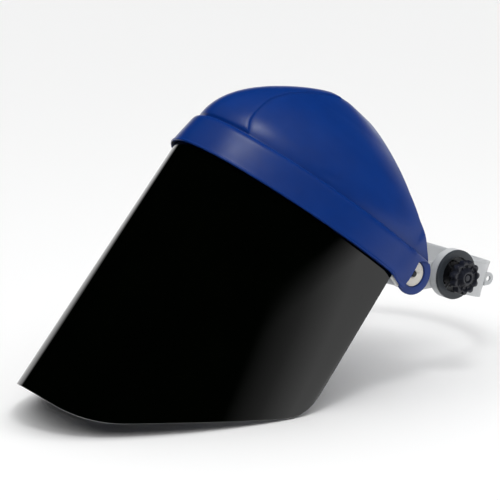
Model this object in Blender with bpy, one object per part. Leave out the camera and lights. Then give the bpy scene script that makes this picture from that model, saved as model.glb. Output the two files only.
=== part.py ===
"""Face shield: a raised visor (crown shell and dark window) hinged on a ratchet headband.

Frame: +Z up, the wearer looks along -Y, +X is the wearer's left. The origin is the middle of the
head opening, on the visor's pivot axis. The visor is modelled level, in its own frame, and is
swung up about the pivot axis by one empty. Lengths are in metres.
"""
import math

import bmesh
import bpy
from mathutils import Matrix, Vector

MM = 0.001
GAP = 0.3 * MM                      # clearance between neighbouring pieces
TAU = 2.0 * math.pi

# Visor, in its own level frame
VISOR_PITCH = math.radians(39.7)    # how far the visor is swung up at rest
PLAN_Y = -12.0 * MM                 # centre of the rim's plan curve
NOSE_TAPER = 0.21                   # narrows the plan between nose and sides
RIM_HALF = 96.5 * MM
RIM_REACH = 162.0 * MM
RIM_LOW_Z = -12.1 * MM
RIM_SLOPE = 0.0102                  # the rim drops a little towards the front
CREASE_HALF = 87.1 * MM
CREASE_REACH = 153.7 * MM
CREASE_Z = 13.75 * MM
RIM_PROFILE = ((0.0, 0.0), (1.3, 7.0), (2.7, 14.0), (4.2, 21.0), (6.0, 24.3), (9.3, 25.85))
RIM_END_Y = (-9.4, -7.9, -6.9, -6.0, 2.5, 8.0)
HEEL_DROP = 4.0                     # the rim's lower edge dips by this much at its rear ends
HEEL_RISE = 7.0
WEB_SHEAR = 0.135                   # slant of the rim's rear ends
SHELL_WALL = 2.2 * MM
ARC_STEPS = 48
SIDE_STEPS = 3
DOME_STEPS = 10

# Dome above the crease
DOME_RISE = 76.7 * MM
DOME_TOP_Y = -71.0 * MM
DOME_BACK_Y = 86.5 * MM             # where the dome would close behind, if it weren't cut
SIDE_TUCK = 0.50
FRONT_TUCK = 0.473
BACK_POWER = 3.5
CENTRE_POWER = 2.5
TOP_TAPER = 0.04
# Rear edge of the dome, as (height, y) in mm; it leans forward as it rises
BACK_EDGE = ((13.75, 8.0), (21.0, 0.0), (32.0, -9.3), (36.0, -14.8), (50.0, -27.0),
             (65.0, -35.8), (80.0, -44.5), (90.5, -52.0))

# Lobes and pivots, on the pivot axis
LOBE_RADIUS = 15.6 * MM
LOBE_IN_X = 86.2 * MM
LOBE_OUT_X = 88.5 * MM
LOBE_TOP_Z = 13.2 * MM
BUTTON_RADIUS = 9.4 * MM
PIN_RADIUS = 1.5 * MM
HUB_RADIUS = 13.0 * MM

# Window
WINDOW_THICK = 2.0 * MM
WINDOW_INSET = 3.4 * MM             # rim's outer edge to the window's outer face
WINDOW_ENGAGE = 5.0 * MM            # how far the window reaches up behind the rim
WINDOW_BACK_Y = -22.0 * MM
WINDOW_FLARE = 0.012               # it leans outwards as it goes down
WINDOW_DROP = 205.8 * MM           # exposed height on the centre line
SIDE_CUT_START = 54.5 * MM          # along the sheet, from its centre line
SIDE_CUT_SLOPE = 0.65
CHIN_RADIUS = 90.0 * MM
CORNER_RADIUS = 32.0 * MM
STUD_LENGTHS = (-150.0, -75.0, 0.0, 75.0, 150.0)

# Headband
BAND_OUT_X = 77.5 * MM
BAND_THICK = 1.8 * MM
BAND_Z = -7.0 * MM                  # middle height behind the pivots
BAND_CLIMB = 0.35                   # it climbs towards the forehead from here
BAND_CLIMB_Y = 12.0 * MM
BAND_HEIGHT = 20.0 * MM
BAND_ARC_Y = -26.0 * MM
BAND_FRONT_REACH = 74.0 * MM
BAND_END_Y = 57.0 * MM
PAD_THICK = 8.0 * MM
PAD_HEIGHT = 32.0 * MM

# Rear strap, one layer inside the front band
STRAP_OUT_X = 75.4 * MM
STRAP_THICK = 1.6 * MM
STRAP_ARC_Y = 57.0 * MM
STRAP_BACK_REACH = 65.0 * MM
STRAP_END_Y = 15.8 * MM
STRAP_LEG_HALF = 8.0 * MM
STRAP_NAPE_HALF = 14.5 * MM
STRAP_DROP_Y = 46.0 * MM            # the strap starts down to the nape here
STRAP_DROP_SLOPE = 0.345
STRAP_CANT = math.radians(20.0)

# Ratchet, on an axis along X
RATCHET_Y = 42.6 * MM
RATCHET_Z = -7.4 * MM
DRUM_RADIUS = 18.7 * MM
DRUM_WALL = 1.7 * MM
DRUM_IN_X = 77.8 * MM
DRUM_OUT_X = 84.4 * MM
RING_IN_X = 84.7 * MM
RING_OUT_X = 86.8 * MM
RING_INNER = 13.1 * MM
PINION_TIP = 4.4 * MM
PINION_ROOT = 3.4 * MM
PINION_PITCH_RADIUS = 4.0 * MM
PINION_TEETH = 8
SHAFT_RADIUS = 3.0 * MM
KNOB_RADIUS = 13.2 * MM
KNOB_LOBES = 11
SLOT_START_Y = 18.0 * MM
SLOT_END_Y = 61.0 * MM
TAB_Y = 100.0 * MM                  # eyelet on the strap's left quarter
TAB_Z = -25.0 * MM
TAB_IN_X = 58.2 * MM
TAB_OUT_X = 60.2 * MM

# Crown straps over the head
CROWN_WIDTH = 17.0 * MM
CROWN_THICK = 1.4 * MM
CROWN_BASE_Y = -17.0 * MM
CROWN_LEAN_Y = 14.0 * MM
CROWN_SPRING_Z = 8.0 * MM           # the arch starts above the straight feet
CROWN_FOOT_Z = -5.0 * MM
CROWN_RISE = 76.0 * MM
CROWN_OVERLAP_X = 25.0 * MM

COLOURS = {
    "blue": ((0.004, 0.035, 0.19, 1.0), 0.28, 0.0),
    "window": ((0.004, 0.010, 0.006, 1.0), 0.06, 0.0),
    "grey": ((0.56, 0.58, 0.59, 1.0), 0.45, 0.0),
    "white": ((0.80, 0.79, 0.74, 1.0), 0.40, 0.0),
    "black": ((0.015, 0.016, 0.018, 1.0), 0.40, 0.0),
    "slate": ((0.045, 0.05, 0.06, 1.0), 0.45, 0.0),
    "steel": ((0.55, 0.55, 0.56, 1.0), 0.30, 1.0),
    "foam": ((0.20, 0.20, 0.21, 1.0), 0.90, 0.0),
}


# ---------------------------------------------------------------- general helpers

def clear_scene():
    for old in list(bpy.data.objects):
        bpy.data.objects.remove(old, do_unlink=True)


def material(name, finish):
    colour, roughness, metallic = COLOURS[finish]
    mat = bpy.data.materials.new(name + "_finish")
    mat.use_nodes = True
    shader = mat.node_tree.nodes["Principled BSDF"]
    shader.inputs["Base Color"].default_value = colour
    shader.inputs["Roughness"].default_value = roughness
    shader.inputs["Metallic"].default_value = metallic
    return mat


def add_object(name, mesh, finish, parent=None, smooth=30.0):
    """Links a mesh as a named piece with its own material."""
    piece = bpy.data.objects.new(name, mesh)
    bpy.context.scene.collection.objects.link(piece)
    mesh.materials.append(material(name, finish))
    mesh.shade_smooth()
    mesh.set_sharp_from_angle(angle=math.radians(smooth))
    piece.parent = parent
    return piece


def finish_mesh(name, bm):
    """Welds, drops needle faces, turns the faces outwards and returns a mesh."""
    bmesh.ops.remove_doubles(bm, verts=bm.verts, dist=0.001 * MM)
    bmesh.ops.dissolve_degenerate(bm, edges=bm.edges, dist=0.001 * MM)
    bmesh.ops.recalc_face_normals(bm, faces=bm.faces)
    mesh = bpy.data.meshes.new(name)
    bm.to_mesh(mesh)
    bm.free()
    return mesh


def loft(name, rings, cap=True, wrap=False):
    """A solid through rings of equal length; the ends are capped or wrapped round."""
    bm = bmesh.new()
    rows = [[bm.verts.new(point) for point in ring] for ring in rings]
    count = len(rings[0])
    pairs = list(zip(rows, rows[1:]))
    if wrap:
        pairs.append((rows[-1], rows[0]))
    for low, high in pairs:
        for i in range(count):
            j = (i + 1) % count
            bm.faces.new((low[i], low[j], high[j], high[i]))
    if cap and not wrap:
        bm.faces.new(rows[0])
        bm.faces.new(rows[-1])
    return finish_mesh(name, bm)


def extrude_x(name, outline, x_in, x_out):
    """A plate whose (y, z) outline is extruded along X."""
    return loft(name, [[(x, y, z) for y, z in outline] for x in (x_in, x_out)])


def circle(radius, count, centre=(0.0, 0.0), start=0.0):
    return [(centre[0] + radius * math.cos(start + TAU * i / count),
             centre[1] + radius * math.sin(start + TAU * i / count)) for i in range(count)]


def turned_x(name, profile, centre=(0.0, 0.0), count=32):
    """A solid of revolution about an axis along X, from (x, radius) stations; closed by caps."""
    return loft(name, [[(x, y, z) for y, z in circle(r, count, centre)] for x, r in profile])


def ring_x(name, profile, centre, count=32):
    """A ring about an axis along X: the closed (x, radius) profile is swept all round."""
    rings = []
    for i in range(count):
        a = TAU * i / count
        rings.append([(x, centre[0] + r * math.cos(a), centre[1] + r * math.sin(a))
                      for x, r in profile])
    return loft(name, rings, wrap=True)


def helper(name, mesh, parent=None):
    """A hidden tool body for a Boolean."""
    tool = bpy.data.objects.new(name, mesh)
    bpy.context.scene.collection.objects.link(tool)
    tool.parent = parent
    tool.hide_render = True
    tool.display_type = 'WIRE'
    return tool


def boolean(piece, tool, operation='DIFFERENCE'):
    mod = piece.modifiers.new(operation.title(), 'BOOLEAN')
    mod.operation = operation
    mod.solver = 'EXACT'
    mod.object = tool


def ramp(value, start, end):
    """0 before start, 1 after end, and smooth between."""
    t = min(1.0, max(0.0, (value - start) / (end - start)))
    return t * t * (3.0 - 2.0 * t)


def empty(name, location, rotation_x=0.0, parent=None):
    pivot = bpy.data.objects.new(name, None)
    bpy.context.scene.collection.objects.link(pivot)
    pivot.location = location
    pivot.rotation_euler = (rotation_x, 0.0, 0.0)
    pivot.parent = parent
    return pivot


def mirrored(mesh, name):
    """A copy of a mesh on the other side of the middle plane."""
    copy = mesh.copy()
    copy.name = name
    copy.transform(Matrix.Scale(-1.0, 4, (1.0, 0.0, 0.0)))
    copy.flip_normals()
    return copy


# ---------------------------------------------------------------- visor surfaces

def plan_point(half, reach, taper, angle, centre_y=PLAN_Y):
    """Plan curve: angle 0 is the nose, 90 degrees the wearer's left side."""
    s, c = math.sin(angle), math.cos(angle)
    return half * s * (1.0 - taper * c * c), centre_y - reach * c


def arc_angles(steps=ARC_STEPS):
    return [math.radians(-90.0 + 180.0 * i / steps) for i in range(steps + 1)]


def add_sides(arc, side):
    """A whole row: the right side mirrored from the left one, the arc, then the left side."""
    return [(-x, y, z) for x, y, z in reversed(side)] + arc + side


def heel(y, rise):
    """How far the rim's rear end is drawn down, in metres."""
    return HEEL_DROP * MM * ramp(y, -28.0 * MM, -11.0 * MM) * max(0.0, 1.0 - rise / HEEL_RISE)


def rim_row(inset, rise, end_y):
    """One row round the rim's outer face."""
    share = inset / RIM_PROFILE[-1][0]
    half = RIM_HALF + (CREASE_HALF - RIM_HALF) * share
    reach = RIM_REACH + (CREASE_REACH - RIM_REACH) * share
    base = RIM_LOW_Z + rise * MM
    arc = []
    for angle in arc_angles():
        x, y = plan_point(half, reach, NOSE_TAPER, angle)
        arc.append((x, y, base + RIM_SLOPE * y - heel(y, rise)))
    side = []
    for i in range(1, SIDE_STEPS + 1):
        y = PLAN_Y + (end_y * MM - PLAN_Y) * i / SIDE_STEPS
        x = half * math.sqrt(1.0 - ((y - PLAN_Y) / (DOME_BACK_Y - PLAN_Y)) ** 2)
        side.append((x, y, base + RIM_SLOPE * y - heel(y, rise)))
    return add_sides(arc, side)


def back_edge(level):
    """Where the dome ends behind, at a height."""
    for (z0, y0), (z1, y1) in zip(BACK_EDGE, BACK_EDGE[1:]):
        if level <= z1 * MM:
            return (y0 + (y1 - y0) * (level / MM - z0) / (z1 - z0)) * MM
    return BACK_EDGE[-1][1] * MM


def dome_row(rise):
    """One row of the dome at a relative height from 0 to 1."""
    drop = math.sqrt(1.0 - rise * rise)
    half = CREASE_HALF * drop * (1.0 - SIDE_TUCK * rise * rise)
    run = PLAN_Y - CREASE_REACH - DOME_TOP_Y
    front = DOME_TOP_Y + run * drop * (1.0 - FRONT_TUCK * rise * rise)
    tail = (1.0 - rise ** BACK_POWER) ** (1.0 / BACK_POWER)
    back = DOME_TOP_Y + (DOME_BACK_Y - DOME_TOP_Y) * tail
    centre = PLAN_Y + (DOME_TOP_Y - PLAN_Y) * rise ** CENTRE_POWER
    taper = NOSE_TAPER + TOP_TAPER * rise
    level = CREASE_Z + DOME_RISE * rise
    edge = back_edge(level)
    centre = min(centre, edge - 1.0 * MM)
    tilt = RIM_SLOPE * (1.0 - rise)
    arc = []
    for angle in arc_angles():
        x, y = plan_point(half, centre - front, taper, angle, centre)
        arc.append((x, y, level + tilt * y))
    side = []
    for i in range(1, SIDE_STEPS + 1):
        y = centre + (edge - centre) * i / SIDE_STEPS
        x = half * math.sqrt(1.0 - ((y - centre) / (back - centre)) ** 2)
        side.append((x, y, level + tilt * y))
    return add_sides(arc, side)


def shell_mesh():
    """The crown's wall: its outer sheet, thickened inwards."""
    rows = [rim_row(inset, rise, end) for (inset, rise), end in zip(RIM_PROFILE, RIM_END_Y)]
    for i in range(1, DOME_STEPS + 1):
        rows.append(dome_row(math.sin(math.radians(86.0) * i / DOME_STEPS)))
    bm = bmesh.new()
    grid = [[bm.verts.new(point) for point in row] for row in rows]
    for low, high in zip(grid, grid[1:]):
        for i in range(len(low) - 1):
            bm.faces.new((low[i], low[i + 1], high[i + 1], high[i]))
    zip_row(bm, grid[-1])
    thicken(bm, SHELL_WALL)
    return finish_mesh("crown_shell", bm)


def zip_row(bm, row):
    """Closes the narrow top row by joining its left and right halves."""
    last = len(row) - 1
    for i in range(last // 2 - 1):
        bm.faces.new((row[i], row[i + 1], row[last - 1 - i], row[last - i]))
    middle = last // 2
    bm.faces.new((row[middle - 1], row[middle], row[middle + 1]))


def thicken(bm, depth):
    """Gives an open sheet a second skin inside it and closes its free edges."""
    bmesh.ops.recalc_face_normals(bm, faces=bm.faces)
    bm.normal_update()
    highest = max(bm.faces, key=lambda face: face.calc_center_median().z)
    if highest.normal.z < 0.0:
        bmesh.ops.reverse_faces(bm, faces=bm.faces)
        bm.normal_update()
    outer_faces = list(bm.faces)
    rim_edges = [(e.verts[0], e.verts[1]) for e in bm.edges if e.is_boundary]
    twin = {}
    for vert in list(bm.verts):
        factor = min(vert.calc_shell_factor(), 1.4)
        twin[vert] = bm.verts.new(vert.co - vert.normal * depth * factor)
    for face in outer_faces:
        bm.faces.new([twin[v] for v in reversed(face.verts)])
    for a, b in rim_edges:
        bm.faces.new((a, b, twin[b], twin[a]))


def lobe_mesh(name, side):
    """Round lobe plate that runs up into the rim."""
    start = math.asin(LOBE_TOP_Z / LOBE_RADIUS)
    outline = []
    for i in range(31):
        a = start - (start + math.pi) * i / 30
        outline.append((LOBE_RADIUS * math.cos(a), LOBE_RADIUS * math.sin(a)))
    outline.append((-LOBE_RADIUS, LOBE_TOP_Z))
    return extrude_x(name, outline, side * LOBE_IN_X, side * LOBE_OUT_X)


def web_mesh(name, side):
    """The end wall that closes the rim onto the lobe, in the (x, z) plane."""
    inner = LOBE_OUT_X - 0.4 * MM
    profile = [(inner, -12.4 * MM), (95.3 * MM, -15.8 * MM), (91.4 * MM, 8.6 * MM),
               (inner, 8.6 * MM)]
    rings = []
    for start in (-8.2 * MM, -6.2 * MM):
        rings.append([(side * x, start + WEB_SHEAR * (z - 8.6 * MM), z) for x, z in profile])
    return loft(name, rings)


def build_crown_shell(parent):
    crown = add_object("crown_shell", shell_mesh(), "blue", parent, 28.0)
    for side, label in ((1.0, "left"), (-1.0, "right")):
        boolean(crown, helper("lobe_" + label, lobe_mesh("lobe_" + label, side), parent), 'UNION')
        boolean(crown, helper("web_" + label, web_mesh("web_" + label, side), parent), 'UNION')
        radius = BUTTON_RADIUS + 0.4 * MM
        ends = (side * 84.0 * MM, side * (LOBE_OUT_X + 0.5 * MM))
        bore = turned_x("bore", [(ends[0], radius), (ends[1], radius)], count=40)
        boolean(crown, helper("button_bore_" + label, bore, parent))


# ---------------------------------------------------------------- window

def window_frame(length):
    """Angle on the window's plan curve at a length along the sheet from its centre line."""
    half = RIM_HALF - WINDOW_INSET
    reach = RIM_REACH - WINDOW_INSET
    angle, walked = 0.0, 0.0
    step = math.radians(0.1)
    while walked < abs(length):
        x0, y0 = plan_point(half, reach, NOSE_TAPER, angle)
        x1, y1 = plan_point(half, reach, NOSE_TAPER, angle + step)
        walked += math.hypot(x1 - x0, y1 - y0)
        angle += step
    return math.copysign(angle, length)


def window_plan(inset, steps=36):
    half = RIM_HALF - WINDOW_INSET - inset
    reach = RIM_REACH - WINDOW_INSET - inset
    end = math.acos((PLAN_Y - WINDOW_BACK_Y) / (RIM_REACH - WINDOW_INSET))
    return [plan_point(half, reach, NOSE_TAPER, end * i / steps) for i in range(steps + 1)]


def window_drop(length, half_length):
    """Exposed height at a length along the sheet: flat chin, slanted cut, round corner."""
    slant = math.atan(SIDE_CUT_SLOPE)
    run = CHIN_RADIUS * math.tan(0.5 * slant)
    drop = WINDOW_DROP - SIDE_CUT_SLOPE * max(0.0, length - SIDE_CUT_START)
    if SIDE_CUT_START - run < length < SIDE_CUT_START + run * math.cos(slant):
        off = length - (SIDE_CUT_START - run)
        drop = WINDOW_DROP - CHIN_RADIUS + math.sqrt(CHIN_RADIUS ** 2 - off ** 2)
    corner_s = half_length - CORNER_RADIUS
    corner_drop = WINDOW_DROP - SIDE_CUT_SLOPE * (corner_s - SIDE_CUT_START)
    corner_drop -= CORNER_RADIUS / math.cos(slant)
    if length > corner_s + CORNER_RADIUS * math.sin(slant):
        off = min(CORNER_RADIUS, length - corner_s)
        drop = corner_drop + math.sqrt(CORNER_RADIUS ** 2 - off ** 2)
    return drop


def leaned(x, y, z):
    """A point of the window, moved outwards as the sheet leans."""
    out = WINDOW_FLARE * (RIM_LOW_Z - z)
    along = Vector((x / RIM_HALF, (y - PLAN_Y) / RIM_REACH, 0.0)).normalized()
    return (x + out * along.x, y + out * along.y, z)


def build_window(parent):
    outer = window_plan(0.0)
    inner = window_plan(WINDOW_THICK)
    lengths = [0.0]
    for (x0, y0), (x1, y1) in zip(outer, outer[1:]):
        lengths.append(lengths[-1] + math.hypot(x1 - x0, y1 - y0))
    half_rings = []
    for (xo, yo), (xi, yi), length in zip(outer, inner, lengths):
        rim = RIM_LOW_Z + RIM_SLOPE * yo
        low = rim - window_drop(length, lengths[-1])
        high = rim + WINDOW_ENGAGE
        half_rings.append((leaned(xo, yo, low), leaned(xi, yi, low), leaned(xi, yi, high),
                           leaned(xo, yo, high)))
    mirror = [[(-x, y, z) for x, y, z in ring] for ring in reversed(half_rings[1:])]
    window = add_object("window", loft("window", mirror + half_rings), "window", parent, 30.0)
    for i, length in enumerate(STUD_LENGTHS, 1):
        name = "stud_hole_%d" % i
        cutter = stud_body(name, length, ((-5.0, 1.6), (3.0, 1.6)))
        boolean(window, helper(name, cutter, parent))


def stud_body(name, length, profile):
    """A turned body square to the window, from (offset outwards, radius) stations in mm."""
    half = RIM_HALF - WINDOW_INSET
    reach = RIM_REACH - WINDOW_INSET
    angle = window_frame(length * MM)
    x, y = plan_point(half, reach, NOSE_TAPER, angle)
    x2, y2 = plan_point(half, reach, NOSE_TAPER, angle + 0.001)
    out = Vector((y2 - y, x - x2, 0.0)).normalized()
    up = Vector((0.0, 0.0, 1.0))
    side = up.cross(out)
    centre = Vector((x, y, RIM_LOW_Z + 0.5 * WINDOW_ENGAGE + RIM_SLOPE * y))
    rings = []
    for offset, radius in profile:
        middle = centre + out * (offset * MM)
        rings.append([middle + (side * u + up * v) * MM for u, v in circle(radius, 16)])
    return loft(name, rings)


def build_window_studs(parent):
    """Short studs that pin the window's top edge; their heads are inside."""
    profile = ((-3.7, 2.0), (-3.4, 2.4), (-2.35, 2.4), (-2.35, 1.25), (0.1, 1.25))
    for i, length in enumerate(STUD_LENGTHS, 1):
        name = "window_stud_%d" % i
        add_object(name, stud_body(name, length, profile), "black", parent)


def build_window_clips(parent):
    """White corner blocks behind the window, tucked up inside the rim."""
    for side, label in ((1.0, "left"), (-1.0, "right")):
        rings = []
        for y, low in ((-21.4, -14.0), (-12.1, -17.2)):
            profile = ((90.8, low), (93.9, low), (93.5, -12.7), (92.3, -6.5), (90.8, -6.5))
            rings.append([(side * x * MM, y * MM, z * MM) for x, z in profile])
        add_object("window_clip_" + label, loft("window_clip_" + label, rings), "white", parent)


# ---------------------------------------------------------------- pivots

def both_sides(name, mesh, finish, smooth=30.0):
    """The same piece on the wearer's left and, mirrored, on the right."""
    right = mirrored(mesh, name + "_right")
    add_object(name + "_left", mesh, finish, None, smooth)
    add_object(name + "_right", right, finish, None, smooth)


def build_pivots():
    axis = (0.0, 0.0)
    hole = PIN_RADIUS + GAP
    hub_out = 81.7 * MM
    button_in = hub_out + GAP
    button_out = 87.8 * MM
    well = 2.6 * MM
    both_sides("pivot_hub", ring_x("pivot_hub", [
        (DRUM_IN_X, hole), (hub_out, hole), (hub_out, HUB_RADIUS - 0.6 * MM),
        (hub_out - 0.6 * MM, HUB_RADIUS), (DRUM_IN_X, HUB_RADIUS)], axis, 40), "grey")
    both_sides("pivot_button", ring_x("pivot_button", [
        (button_in, hole), (button_in, BUTTON_RADIUS), (button_out - 0.4 * MM, BUTTON_RADIUS),
        (button_out, BUTTON_RADIUS - 0.4 * MM), (button_out, well + 0.4 * MM),
        (button_out - 0.4 * MM, well), (button_out - 2.5 * MM, well),
        (button_out - 2.5 * MM, hole)], axis, 40), "white")
    both_sides("friction_washer", ring_x("friction_washer", [
        (button_in, 9.9 * MM), (LOBE_IN_X - GAP, 9.9 * MM), (LOBE_IN_X - GAP, 11.3 * MM),
        (button_in, 11.3 * MM)], axis, 40), "black")
    both_sides("pivot_screw", turned_x("pivot_screw", [
        (73.9 * MM, 3.0 * MM), (74.2 * MM, 3.4 * MM), (75.3 * MM, 3.4 * MM),
        (75.3 * MM, PIN_RADIUS), (85.8 * MM, PIN_RADIUS), (85.8 * MM, 2.2 * MM),
        (88.4 * MM, 2.2 * MM), (88.9 * MM, 1.7 * MM)], count=24), "steel")


# ---------------------------------------------------------------- headband

def band_plan(offset, steps=28):
    """Front band's plan from its left end, round the forehead, to its right end."""
    half = BAND_OUT_X - offset
    reach = BAND_FRONT_REACH - offset
    points = [(half, BAND_END_Y), (half, BAND_CLIMB_Y)]
    for i in range(steps + 1):
        a = math.pi * i / steps
        points.append((half * math.cos(a), BAND_ARC_Y - reach * math.sin(a)))
    points += [(-half, BAND_CLIMB_Y), (-half, BAND_END_Y)]
    return points


def band_middle(y):
    """Middle height of the front band."""
    return BAND_Z + BAND_CLIMB * max(0.0, BAND_CLIMB_Y - y)


def build_front_band():
    rings = []
    for (xo, yo), (xi, yi) in zip(band_plan(0.0), band_plan(BAND_THICK)):
        low = band_middle(yo) - 0.5 * BAND_HEIGHT
        high = band_middle(yo) + 0.5 * BAND_HEIGHT
        rings.append([(xo, yo, low), (xi, yi, low), (xi, yi, high), (xo, yo, high)])
    band = add_object("headband_front", loft("headband_front", rings), "grey")
    inner = BAND_OUT_X - BAND_THICK
    for side, label in ((1.0, "left"), (-1.0, "right")):
        ear = turned_x("ear", [(side * inner, HUB_RADIUS), (side * BAND_OUT_X, HUB_RADIUS)],
                       count=40)
        boolean(band, helper("band_ear_" + label, ear), 'UNION')
    across = (-95.0 * MM, 95.0 * MM)
    pin = turned_x("pin_hole", [(x, PIN_RADIUS + GAP) for x in across], count=20)
    boolean(band, helper("band_pin_hole", pin))
    foot = (CROWN_BASE_Y, band_middle(CROWN_BASE_Y))
    rivet = turned_x("rivet_hole", [(x, 2.0 * MM) for x in across], foot, 20)
    boolean(band, helper("band_rivet_hole", rivet))
    pinion = turned_x("pinion_hole", [(60 * MM, 5.2 * MM), (90 * MM, 5.2 * MM)],
                      (RATCHET_Y, RATCHET_Z))
    boolean(band, helper("band_pinion_hole", pinion))


def build_brow_pad():
    """A closed curved pad inside the forehead part of the band."""
    half_out = BAND_OUT_X - BAND_THICK - 0.5 * MM
    reach_out = BAND_FRONT_REACH - BAND_THICK - 0.5 * MM
    rings = []
    steps = 24
    for i in range(steps + 1):
        a = math.radians(35.0 + 110.0 * i / steps)
        swell = min(1.0, 0.35 + 3.0 * min(i, steps - i) / steps)
        middle = band_middle(BAND_ARC_Y - reach_out * math.sin(a))
        outline = []
        for u, v in ((0.0, -0.42), (0.0, 0.42), (0.45, 0.5), (0.9, 0.36), (1.0, 0.0),
                     (0.9, -0.36), (0.45, -0.5)):
            x = (half_out - u * PAD_THICK * swell) * math.cos(a)
            y = BAND_ARC_Y - (reach_out - u * PAD_THICK * swell) * math.sin(a)
            outline.append((x, y, middle + v * PAD_HEIGHT * (0.8 + 0.2 * swell)))
        rings.append(outline)
    add_object("brow_pad", loft("brow_pad", rings), "foam", None, 60.0)


# ---------------------------------------------------------------- rear strap

def strap_plan(offset, steps=30):
    """Rear strap's plan from its left end, round the nape, to its right end."""
    half = STRAP_OUT_X - offset
    reach = STRAP_BACK_REACH - offset
    leg = [STRAP_END_Y, 26.0 * MM, 46.0 * MM, 49.0 * MM, 52.0 * MM, 54.5 * MM]
    points = [(half, y) for y in leg]
    for i in range(steps + 1):
        a = math.pi * i / steps
        points.append((half * math.cos(a), STRAP_ARC_Y + reach * math.sin(a)))
    points += [(-half, y) for y in reversed(leg)]
    return points


def strap_section(y):
    """Middle height, half height and cant of the rear strap at a plan point."""
    middle = RATCHET_Z - STRAP_DROP_SLOPE * max(0.0, y - STRAP_DROP_Y)
    grow = ramp(y, STRAP_DROP_Y, 62.0 * MM)
    half = STRAP_LEG_HALF + (STRAP_NAPE_HALF - STRAP_LEG_HALF) * grow
    return middle, half, STRAP_CANT * grow


def build_rear_strap(parent):
    rings = []
    for (xo, yo), (xi, yi) in zip(strap_plan(0.0), strap_plan(STRAP_THICK)):
        middle, half, cant = strap_section(yo)
        rise, back = half * math.cos(cant), half * math.sin(cant)
        rings.append([(xo, yo - back, middle - rise), (xi, yi - back, middle - rise),
                      (xi, yi + back, middle + rise), (xo, yo + back, middle + rise)])
    strap = add_object("rear_strap", loft("rear_strap", rings), "grey", None, 40.0)
    move_origin(strap, parent)
    slot = helper("rack_slot", rack_slot_mesh("rack_slot"))
    tab = helper("eyelet_tab", tab_mesh("eyelet_tab"))
    ends = (TAB_IN_X - 0.1 * MM, TAB_OUT_X + 1.5 * MM)
    hole = helper("eyelet_hole", turned_x("eyelet_hole", [(x, 2.3 * MM) for x in ends],
                                          (TAB_Y, TAB_Z), 20))
    for tool, operation in ((slot, 'DIFFERENCE'), (tab, 'UNION'), (hole, 'DIFFERENCE')):
        move_origin(tool, parent)
        boolean(strap, tool, operation)


def move_origin(piece, parent):
    """Hangs a piece that was modelled in world coordinates on an empty."""
    piece.parent = parent
    piece.matrix_parent_inverse = Matrix.Translation(-Vector(parent.location))


def tab_mesh(name):
    """Eyelet that stands off the strap, square to X."""
    outline = []
    for i in range(21):
        a = math.radians(-90.0 + 180.0 * i / 20)
        outline.append((TAB_Y + 5.0 * MM * math.cos(a), TAB_Z + 5.0 * MM * math.sin(a)))
    outline += [(TAB_Y - 4.0 * MM, TAB_Z + 5.0 * MM), (TAB_Y - 4.0 * MM, TAB_Z - 5.0 * MM)]
    return extrude_x(name, outline, TAB_IN_X, TAB_OUT_X)


def rack_slot_mesh(name):
    """Slot cutter with a row of rack teeth along its lower side."""
    tip = PINION_TIP + GAP
    root = tip + 1.0 * MM
    pitch = TAU * PINION_PITCH_RADIUS / PINION_TEETH
    count = int((SLOT_END_Y - SLOT_START_Y) / pitch)
    points = [(SLOT_START_Y, 5.2 * MM), (SLOT_START_Y, -root)]
    for i in range(count):
        y = SLOT_START_Y + pitch * i
        points += [(y + 0.30 * pitch, -root), (y + 0.42 * pitch, -tip),
                   (y + 0.72 * pitch, -tip), (y + 0.84 * pitch, -root)]
    points += [(SLOT_END_Y, -root), (SLOT_END_Y, 5.2 * MM)]
    return extrude_x(name, [(y, RATCHET_Z + z) for y, z in points], 70 * MM, 80 * MM)


def build_strap_keeper():
    """A loop that holds the rear strap's right leg against the front band."""
    inner = [(-73.3, -17.6), (-73.3, 3.6), (-77.9, 3.6), (-77.9, -17.6)]
    outer = [(-72.0, -19.0), (-72.0, 5.0), (-79.2, 5.0), (-79.2, -19.0)]
    rings = []
    for y, outline in ((24.0, inner), (32.0, inner), (32.0, outer), (24.0, outer)):
        rings.append([(x * MM, y * MM, z * MM) for x, z in outline])
    add_object("strap_keeper", loft("strap_keeper", rings, wrap=True), "grey")


# ---------------------------------------------------------------- ratchet

def build_ratchet_housing():
    floor = DRUM_IN_X + 1.6 * MM
    bore = DRUM_RADIUS - DRUM_WALL
    profile = [(DRUM_IN_X, 6.0 * MM), (floor, 6.0 * MM), (floor, bore), (DRUM_OUT_X, bore),
               (DRUM_OUT_X, DRUM_RADIUS - 0.4 * MM), (DRUM_OUT_X - 0.4 * MM, DRUM_RADIUS),
               (DRUM_IN_X, DRUM_RADIUS)]
    mesh = ring_x("ratchet_housing", profile, (RATCHET_Y, RATCHET_Z), 48)
    add_object("ratchet_housing", mesh, "grey")


def build_ratchet_ring():
    """Dark retaining ring on the drum's face, with spokes to a hub round the knob's stem."""
    axis = (RATCHET_Y, RATCHET_Z)
    profile = [(RING_IN_X, RING_INNER), (RING_IN_X, DRUM_RADIUS),
               (RING_OUT_X - 0.4 * MM, DRUM_RADIUS), (RING_OUT_X, DRUM_RADIUS - 0.4 * MM),
               (RING_OUT_X, RING_INNER)]
    ring = add_object("ratchet_ring", ring_x("ratchet_ring", profile, axis, 48), "slate")
    hub = ring_x("ring_hub", [(RING_IN_X + 0.1 * MM, 3.5 * MM), (RING_OUT_X, 3.5 * MM),
                              (RING_OUT_X, 6.2 * MM), (RING_IN_X + 0.1 * MM, 6.2 * MM)], axis, 32)
    boolean(ring, helper("ring_hub", hub), 'UNION')
    for i in range(4):
        tool = helper("ring_spoke_%d" % i, spoke_mesh(math.radians(40.0 + 90.0 * i)))
        boolean(ring, tool, 'UNION')


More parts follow.
